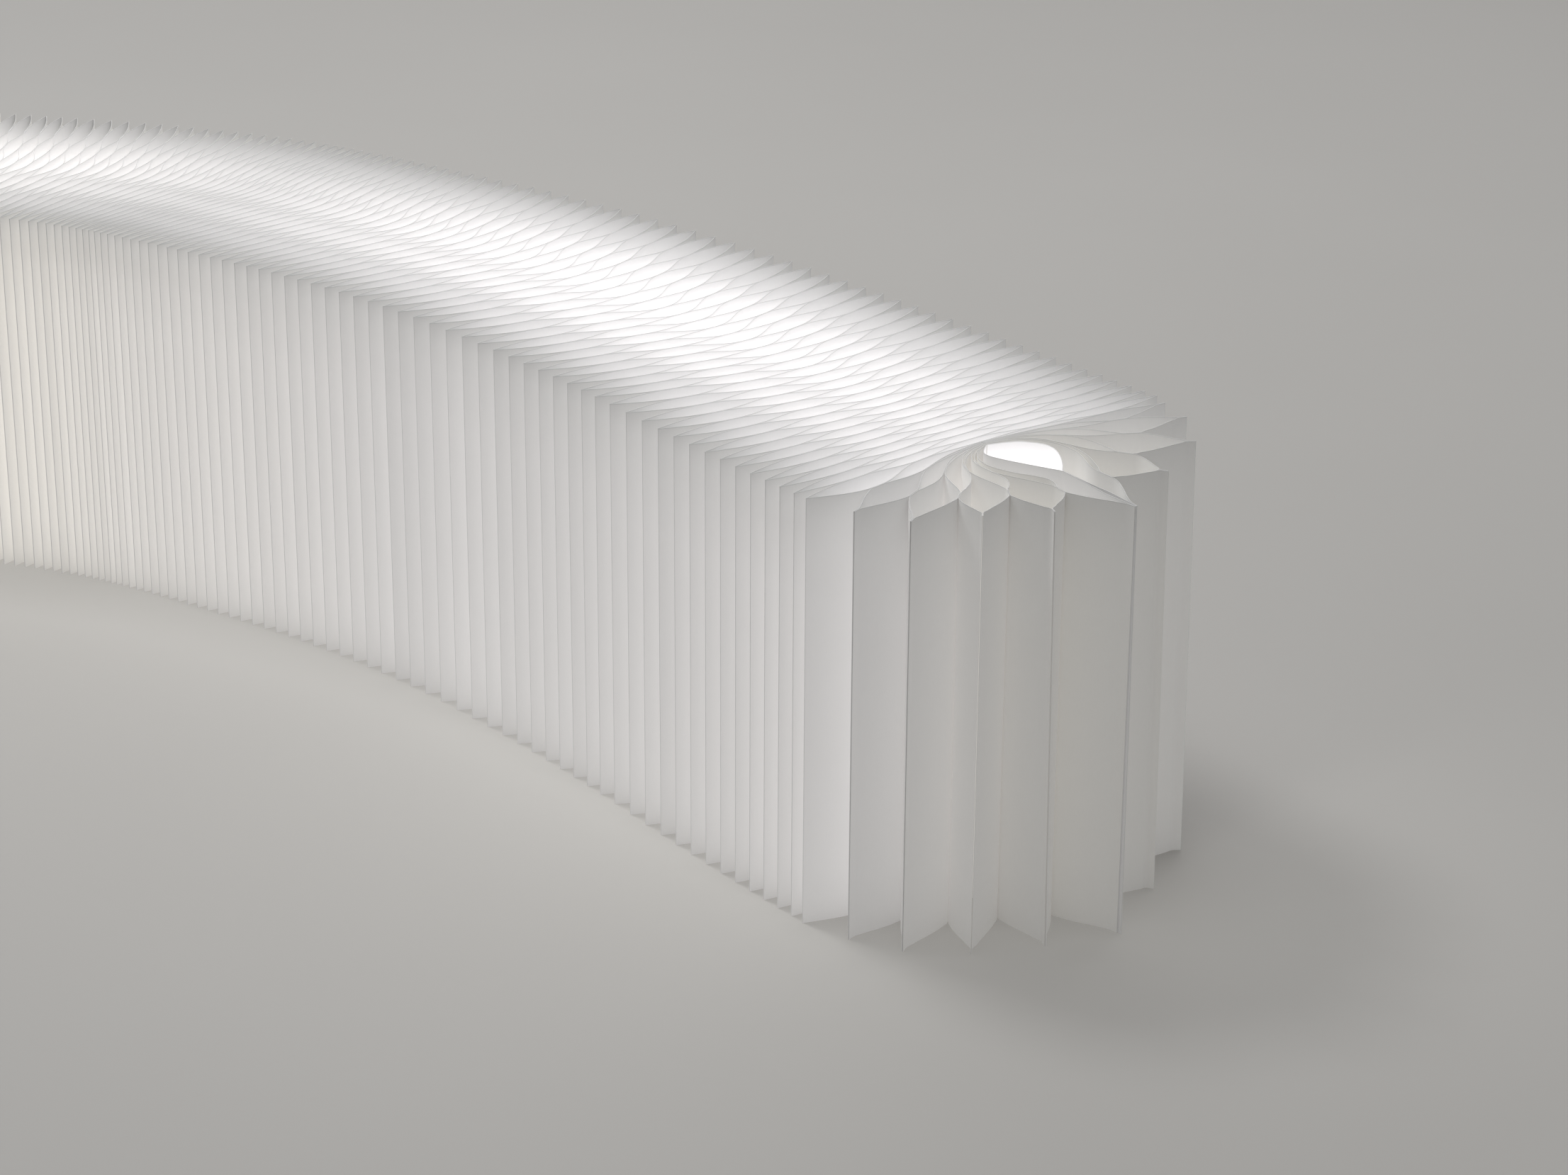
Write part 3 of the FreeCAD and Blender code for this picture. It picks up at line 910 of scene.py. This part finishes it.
def fan_runs(side, leaf, place, half, node):
    """The runs of one half sheet of the fan; a run along one leaf's angle rides on its body. Returns how
    many.
    """
    line, cuts = cut_places(half, edged(smooth_line(half, FAN_STEPS)))
    for run, (first, final) in enumerate(zip(cuts, cuts[1:]), 1):
        is_end = node.startswith("end_sheet")
        strip = Strip(half, line, first, final, is_end)
        piece = paper_mesh(f"paper_fan_{side}_{leaf}{'ab'[place]}_{run}", [strip])
        start = max(first, 1)
        turns = [opened(side, point) for point in line[start : final + 1]]
        number, (low, high) = sector(side, np.mean(turns))
        shares = [min(max((turn - low) / (high - low), 0.0), 1.0) for turn in (turns[0], turns[-1])]
        if max(shares) < ALL_OF_ONE:
            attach(piece, fan_body(side, number - 1))
        elif min(shares) > 1 - ALL_OF_ONE:
            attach(piece, fan_body(side, number))
        else:
            bodies = fan_body(side, number - 1), fan_body(side, number)
            blend_between(piece, line[first], line[final], shares)
        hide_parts(node)
    return len(cuts) - 1


runs = 0
for side, leaves in fan.items():
    for number, leaf in enumerate(leaves, 1):
        for place, half in enumerate(leaf):
            is_end = number == FAN_LEAVES and place == len(leaf) - 1
            node = f"end_sheet_{side}" if is_end else f"fan_{side}_leaf_{number}"
            runs += fan_runs(side, number, place, half, node)
print("fan runs:", runs)

# %% [markdown]
# ## Ribbon finishes
# The sleeve is milky silicone, the tape is white lacquer over copper, the chips are yellow phosphor
# under clear resin and the caps are soft rubber. All four are moulded or coated, so they share one
# recipe: a colour that clouds into its shade, and a fine skin.

# %% Ribbon materials
MOULDED_SWING = 0.1
MOULDED_BUMP = {"Strength": 0.15, "Distance": 0.3 * MM}


def moulded(name, base, shade, roughness, scale):
    material, wire, surface = new_finish(name, {})
    cloud = noise(wire, object_place(wire), scale, 3.0)
    join(cloud.mix(base, shade), surface, "Base Color")
    join(cloud.swinging(roughness, MOULDED_SWING), surface, "Roughness")
    join(wire.node("ShaderNodeBump", values={"Height": cloud, **MOULDED_BUMP}), surface, "Normal")
    return material


sleeve_finish = moulded("clear sleeve", (0.86, 0.86, 0.84, 1), (0.76, 0.76, 0.74, 1), 0.4, 90.0)
tape_finish = moulded("lamp tape", (0.84, 0.83, 0.79, 1), (0.72, 0.71, 0.66, 1), 0.35, 400.0)
chip_finish = moulded("lamp chips", (0.98, 0.90, 0.60, 1), (0.95, 0.84, 0.48, 1), 0.2, 900.0)
cap_finish = moulded("soft cap", (0.80, 0.80, 0.79, 1), (0.70, 0.70, 0.69, 1), 0.5, 300.0)
print("materials:", [material.name for material in bpy.data.materials])

# %% [markdown]
# ## Bars along a line
# The ribbon's parts are all bars: an outline carried along a line. A bevelled curve could do it, but
# its outline would need an object of its own, and the bars have to be closed or hollow meshes.

# %% Outlines and bars
def section(width, low, high, round_by, corner_parts=3):
    """Closed outline across the ribbon, with rounded corners, anticlockwise when seen from its start."""
    half = width / 2 - round_by
    outline = []
    for cx, cz, turn in ((half, low + round_by, -90), (half, high - round_by, 0),
                         (-half, high - round_by, 90), (-half, low + round_by, 180)):
        for part in range(corner_parts + 1):
            angle = math.radians(turn + 90 * part / corner_parts)
            outline.append((cx + round_by * math.cos(angle), cz + round_by * math.sin(angle)))
    return outline


def swept(line, outline):
    """Points and faces of a closed bar with this outline along a line."""
    points = []
    for spot, way in zip(line, line_ways(line)):
        for across, height in outline:
            points.append((spot[0] - way[1] * across, spot[1] + way[0] * across, height))
    size = len(outline)
    faces = [tuple(range(size))[::-1], tuple((len(line) - 1) * size + n for n in range(size))]
    for row in range(len(line) - 1):
        for n in range(size):
            m = (n + 1) % size
            faces.append((row * size + n, row * size + m, (row + 1) * size + m, (row + 1) * size + n))
    return points, faces


def tube(line, outer, inner):
    """A hollow bar: the outer skin, the inner skin turned in, and a ring at each end."""
    points, faces = swept(line, outer)
    inside, inside_faces = swept(line, inner)
    size, base = len(outer), len(points)
    last = (len(line) - 1) * size
    faces = faces[2:] + [tuple(base + n for n in face[::-1]) for face in inside_faces[2:]]
    for n in range(size):
        m = (n + 1) % size
        faces.append((m, n, base + n, base + m))
        faces.append((last + n, last + m, base + last + m, base + last + n))
    return points + inside, faces


# %% Plain pieces
def plain_piece(name, parts, material):
    """An object of one material from several (points, faces) parts."""
    points, faces = [], []
    for part_points, part_faces in parts:
        base = len(points)
        points += part_points
        faces += [tuple(base + n for n in face) for face in part_faces]
    mesh = bpy.data.meshes.new(name)
    mesh.from_pydata(points, [], faces)
    mesh.materials.append(material)
    for polygon in mesh.polygons:
        polygon.use_smooth = len(polygon.vertices) == 4
    piece = bpy.data.objects.new(name, mesh)
    bpy.context.scene.collection.objects.link(piece)
    return piece


# %% [markdown]
# ## The ribbon of lamps
# A clear sleeve lies in the tunnel, with a stiff tape of lamp chips inside it and a soft cap on each
# end. It follows the middles of the guide pleats. Each stretch from guide to guide is one piece of
# sleeve, one of tape and one row of chips.

# %% Ribbon line
RIBBON_PARTS = 16
guides = [f"guide_{number:02d}" for number in range(1, 2 * PACKS + 2)]
guide_pleats = [wall[f"pleat_{number:02d}"] for number in range(1, 2 * PACKS + 2)]
middles = np.array([sheets[0]["front"].line[0] for sheets in guide_pleats])
middle_ways = np.gradient(middles, axis=0)
middle_ways /= np.linalg.norm(middle_ways, axis=1)[:, None]


def ribbon_line(span):
    """Smooth points from one guide pleat to the next."""
    ends = middles[span], middle_ways[span], middles[span + 1], middle_ways[span + 1]
    return np.vstack([middles[span], swing(*ends, RIBBON_PARTS)])


print("ribbon spans:", len(guides) - 1)

# %% Ribbon spans
SLEEVE_LOW, SLEEVE_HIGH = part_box("ribbon_sleeve")[0].z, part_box("ribbon_sleeve")[1].z
TAPE_LOW, TAPE_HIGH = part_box("light_tape")[0].z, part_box("light_tape")[1].z
CHIP_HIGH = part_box("light_chips")[1].z
SLEEVE_WIDTH, SLEEVE_SKIN = 14 * MM, 1 * MM
TAPE_WIDTH = 10 * MM
CHIP_SIZE, CHIP_PITCH = 5 * MM, 24 * MM
OUTER_ROUND, INNER_ROUND, TAPE_ROUND, CHIP_ROUND = 2.5 * MM, 1.5 * MM, 0.1 * MM, 0.3 * MM

outer = section(SLEEVE_WIDTH, SLEEVE_LOW, SLEEVE_HIGH, OUTER_ROUND)
inner_width = SLEEVE_WIDTH - 2 * SLEEVE_SKIN
inner = section(inner_width, SLEEVE_LOW + SLEEVE_SKIN, SLEEVE_HIGH - SLEEVE_SKIN, INNER_ROUND)
tape_outline = section(TAPE_WIDTH, TAPE_LOW, TAPE_HIGH, TAPE_ROUND, 1)
chip_outline = section(CHIP_SIZE, TAPE_HIGH, CHIP_HIGH, CHIP_ROUND, 2)


def chip_bars(line, number):
    """A number of chips at even distances along a line."""
    along, length = walked(line), walked(line)[-1]
    bars = []
    for chip in range(number):
        centre = (chip + 0.5) / number * length
        stops = np.clip(np.array([centre - CHIP_SIZE / 2, centre, centre + CHIP_SIZE / 2]), 0, length)
        spots = np.stack([np.interp(stops, along, line[:, axis]) for axis in (0, 1)], axis=1)
        bars.append(swept(spots, chip_outline))
    return bars


def ribbon_span(span):
    """Sleeve, tape and chips from one guide pleat to the next. Returns the number of chips."""
    line = ribbon_line(span)
    number = max(int(walked(line)[-1] / CHIP_PITCH), 1)
    sleeve = plain_piece(f"sleeve_span_{span + 1:02d}", [tube(line, outer, inner)], sleeve_finish)
    tape = plain_piece(f"tape_span_{span + 1:02d}", [swept(line, tape_outline)], tape_finish)
    chips = plain_piece(f"chip_span_{span + 1:02d}", chip_bars(line, number), chip_finish)
    for piece, node in ((sleeve, "ribbon_sleeve"), (tape, "light_tape"), (chips, "light_chips")):
        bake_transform(piece)
        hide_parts(node)
    return number


print("lamp chips:", sum(ribbon_span(span) for span in range(2 * PACKS)))

# %% [markdown]
# ## Caps of the ribbon
# A soft cup is pushed over each end of the sleeve. It is a short hollow bar whose last stretch is
# solid, so that it is closed on the outside.

# %% Ribbon caps
CAP_LENGTH = 14 * MM
CAP_INSIDE = 0.4
CAP_PARTS = 5
CAP_WALL = 1.2 * MM
CAP_SLACK = 0.1 * MM
CAP_ROUND = 3 * MM
FLOOR_GAP = 0.2 * MM

cap_low = max(SLEEVE_LOW - CAP_WALL, FLOOR_GAP)
cap_shell = section(SLEEVE_WIDTH + 2 * CAP_WALL, cap_low, SLEEVE_HIGH + CAP_WALL, CAP_ROUND)
hole_width = SLEEVE_WIDTH + 2 * CAP_SLACK
cap_hole = section(hole_width, SLEEVE_LOW - CAP_SLACK, SLEEVE_HIGH + CAP_SLACK, OUTER_ROUND)


def end_cap(name, node, spot, way, guide):
    line = np.array([spot + way * CAP_LENGTH * (n / CAP_PARTS - CAP_INSIDE) for n in range(CAP_PARTS + 1)])
    cup = [tube(line[:-1], cap_shell, cap_hole), swept(line[-2:], cap_shell)]
    piece = plain_piece(name, cup, cap_finish)
    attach(piece, guide)
    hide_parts(node)


end_cap("cap_far", "end_cap_far", middles[0], -middle_ways[0], guides[0])
end_cap("cap_near", "end_cap_near", middles[-1], middle_ways[-1], guides[-1])

# %% [markdown]
# ## Floor
# The wall stands on a smooth pale grey floor, which catches some of its glow in the hollow of the curve.
# That glow is written into the floor as the paper's is. It falls off with the distance from the nearest
# front tip, is weaker before the fan, and stops softly where it would show behind the wall.

# %% Glow on the floor
FLOOR_GLOW = 0.23
GLOW_REACH = 0.16
TIP_SPREAD = 0.04
BEHIND_FREE, BEHIND_FADE = 0.03, 0.05
FAN_LOSS, FAN_LOSS_SHEETS, FAN_LOSS_START = 0.35, 45, 0.8

front_halves = in_order("front")
front_feet = np.array([half.line[-1] for half in front_halves])
front_ways = np.array([half.way[-1] for half in front_halves])
into_fan = np.array([(half.number - count) / FAN_LOSS_SHEETS + FAN_LOSS_START for half in front_halves])
foot_levels = FLOOR_GLOW * (1 - FAN_LOSS * soft(np.clip(into_fan, 0, 1)))


def floor_glow(x, y):
    """Light on the floor in front of the wall, by the distance from the nearest front tip."""
    arms = np.array([x, y]) - front_feet
    away = np.linalg.norm(arms, axis=1)
    nearest = int(np.argmin(away))
    behind = max(-arms[nearest] @ front_ways[nearest] - BEHIND_FREE, 0)
    weights = np.exp(-(away - away[nearest]) / TIP_SPREAD)
    level = (weights @ foot_levels) / weights.sum()
    return level * math.exp(-away[nearest] / GLOW_REACH - (behind / BEHIND_FADE) ** 2)


print("floor glow levels:", round(foot_levels.min(), 3), "to", round(foot_levels.max(), 3))

# %% [markdown]
# The floor is a grid that is fine near the wall, where the glow changes, and has a few wide lines
# beyond. Its grey is faintly mottled.

# %% Floor
GRID_STEP = 0.025
GRID_X, GRID_Y = (-0.9, 1.0), (-0.9, 0.6)
WIDE_LINES = np.array([14, 6, 3, 1.6])
FLOOR_PALE = (0.43, 0.42, 0.405, 1)
FLOOR_SHADE = (0.40, 0.39, 0.375, 1)
FLOOR_LIGHT = (1.0, 0.98, 0.93, 1)
FLOOR_FINISH = {"Roughness": 0.7, "Specular IOR Level": 0.2, "Emission Strength": 1}



def grid_lines(limits):
    return np.concatenate([-WIDE_LINES, np.arange(*limits, GRID_STEP), WIDE_LINES[::-1]])


xs, ys = grid_lines(GRID_X), grid_lines(GRID_Y)
spots = [(x, y, 0) for y in ys for x in xs]
squares = []
for row in range(len(ys) - 1):
    for column in range(len(xs) - 1):
        corner = row * len(xs) + column
        squares.append((corner, corner + 1, corner + 1 + len(xs), corner + len(xs)))
floor_mesh = bpy.data.meshes.new("floor")
floor_mesh.from_pydata(spots, [], squares)
layer = floor_mesh.attributes.new("glow", "FLOAT", "POINT")
layer.data.foreach_set("value", [floor_glow(x, y) for x, y, z in spots])
floor = bpy.data.objects.new("floor", floor_mesh)
bpy.context.scene.collection.objects.link(floor)

floor_finish, wire, surface = new_finish("floor", FLOOR_FINISH)
floor_mesh.materials.append(floor_finish)
mottle = noise(wire, object_place(wire), 1.5, 3.0)
join(mottle.mix(FLOOR_PALE, FLOOR_SHADE), surface, "Base Color")
join(mesh_number(wire, "glow").mix(GLOW_NONE, FLOOR_LIGHT), surface, "Emission Color")
print("floor squares:", len(squares))

# %% [markdown]
# ## Lamps
# A wide lamp overhead does most of the lighting. A small one far to the left gives the soft shadow
# beside the fan, and an even world fills the rest. The world is a little brighter where the camera, a
# reflection or a clear part looks straight at it, so that the background is pale without more light on
# the paper.

# %% Lamps
SKY = 0.39
BACKDROP = 0.62
OVERHEAD, OVERHEAD_SIZE = 114, 6
WINDOW, WINDOW_SIZE = 27, 0.9
LAMPS_LOOK_AT = Vector((0.3, 0, 0.1))

world = bpy.data.worlds.new("studio")
bpy.context.scene.world = world
world.use_nodes = True
world_wire = Wire(world.node_tree)
background = world.node_tree.nodes["Background"]
seen = world_wire.node("ShaderNodeLightPath", out="Is Camera Ray")
for ray in ("Is Glossy Ray", "Is Transmission Ray"):
    seen = seen.math("MAXIMUM", seen, world_wire.node("ShaderNodeLightPath", out=ray))
background.inputs["Color"].default_value = (1, 1, 1, 1)
join(seen * (BACKDROP - SKY) + SKY, background, "Strength")


def soft_box(name, size, power, offset):
    """A round area lamp that looks at the middle of the near half."""
    lamp = bpy.data.lights.new(name, "AREA")
    lamp.shape = "DISK"
    lamp.size = size
    lamp.energy = power
    holder = bpy.data.objects.new(name, lamp)
    holder.location = LAMPS_LOOK_AT + offset
    holder.rotation_euler = (LAMPS_LOOK_AT - holder.location).to_track_quat("-Z", "Y").to_euler()
    bpy.context.scene.collection.objects.link(holder)
    print(name, "lamp at", tuple(round(x, 2) for x in holder.location))


soft_box("overhead", OVERHEAD_SIZE, OVERHEAD, Vector((0, 0, 4)) + 2.2 * level - 0.8 * right)
soft_box("window", WINDOW_SIZE, WINDOW, Vector((-1.6, 0, 2.8)))
bpy.context.scene.view_settings.view_transform = "Standard"
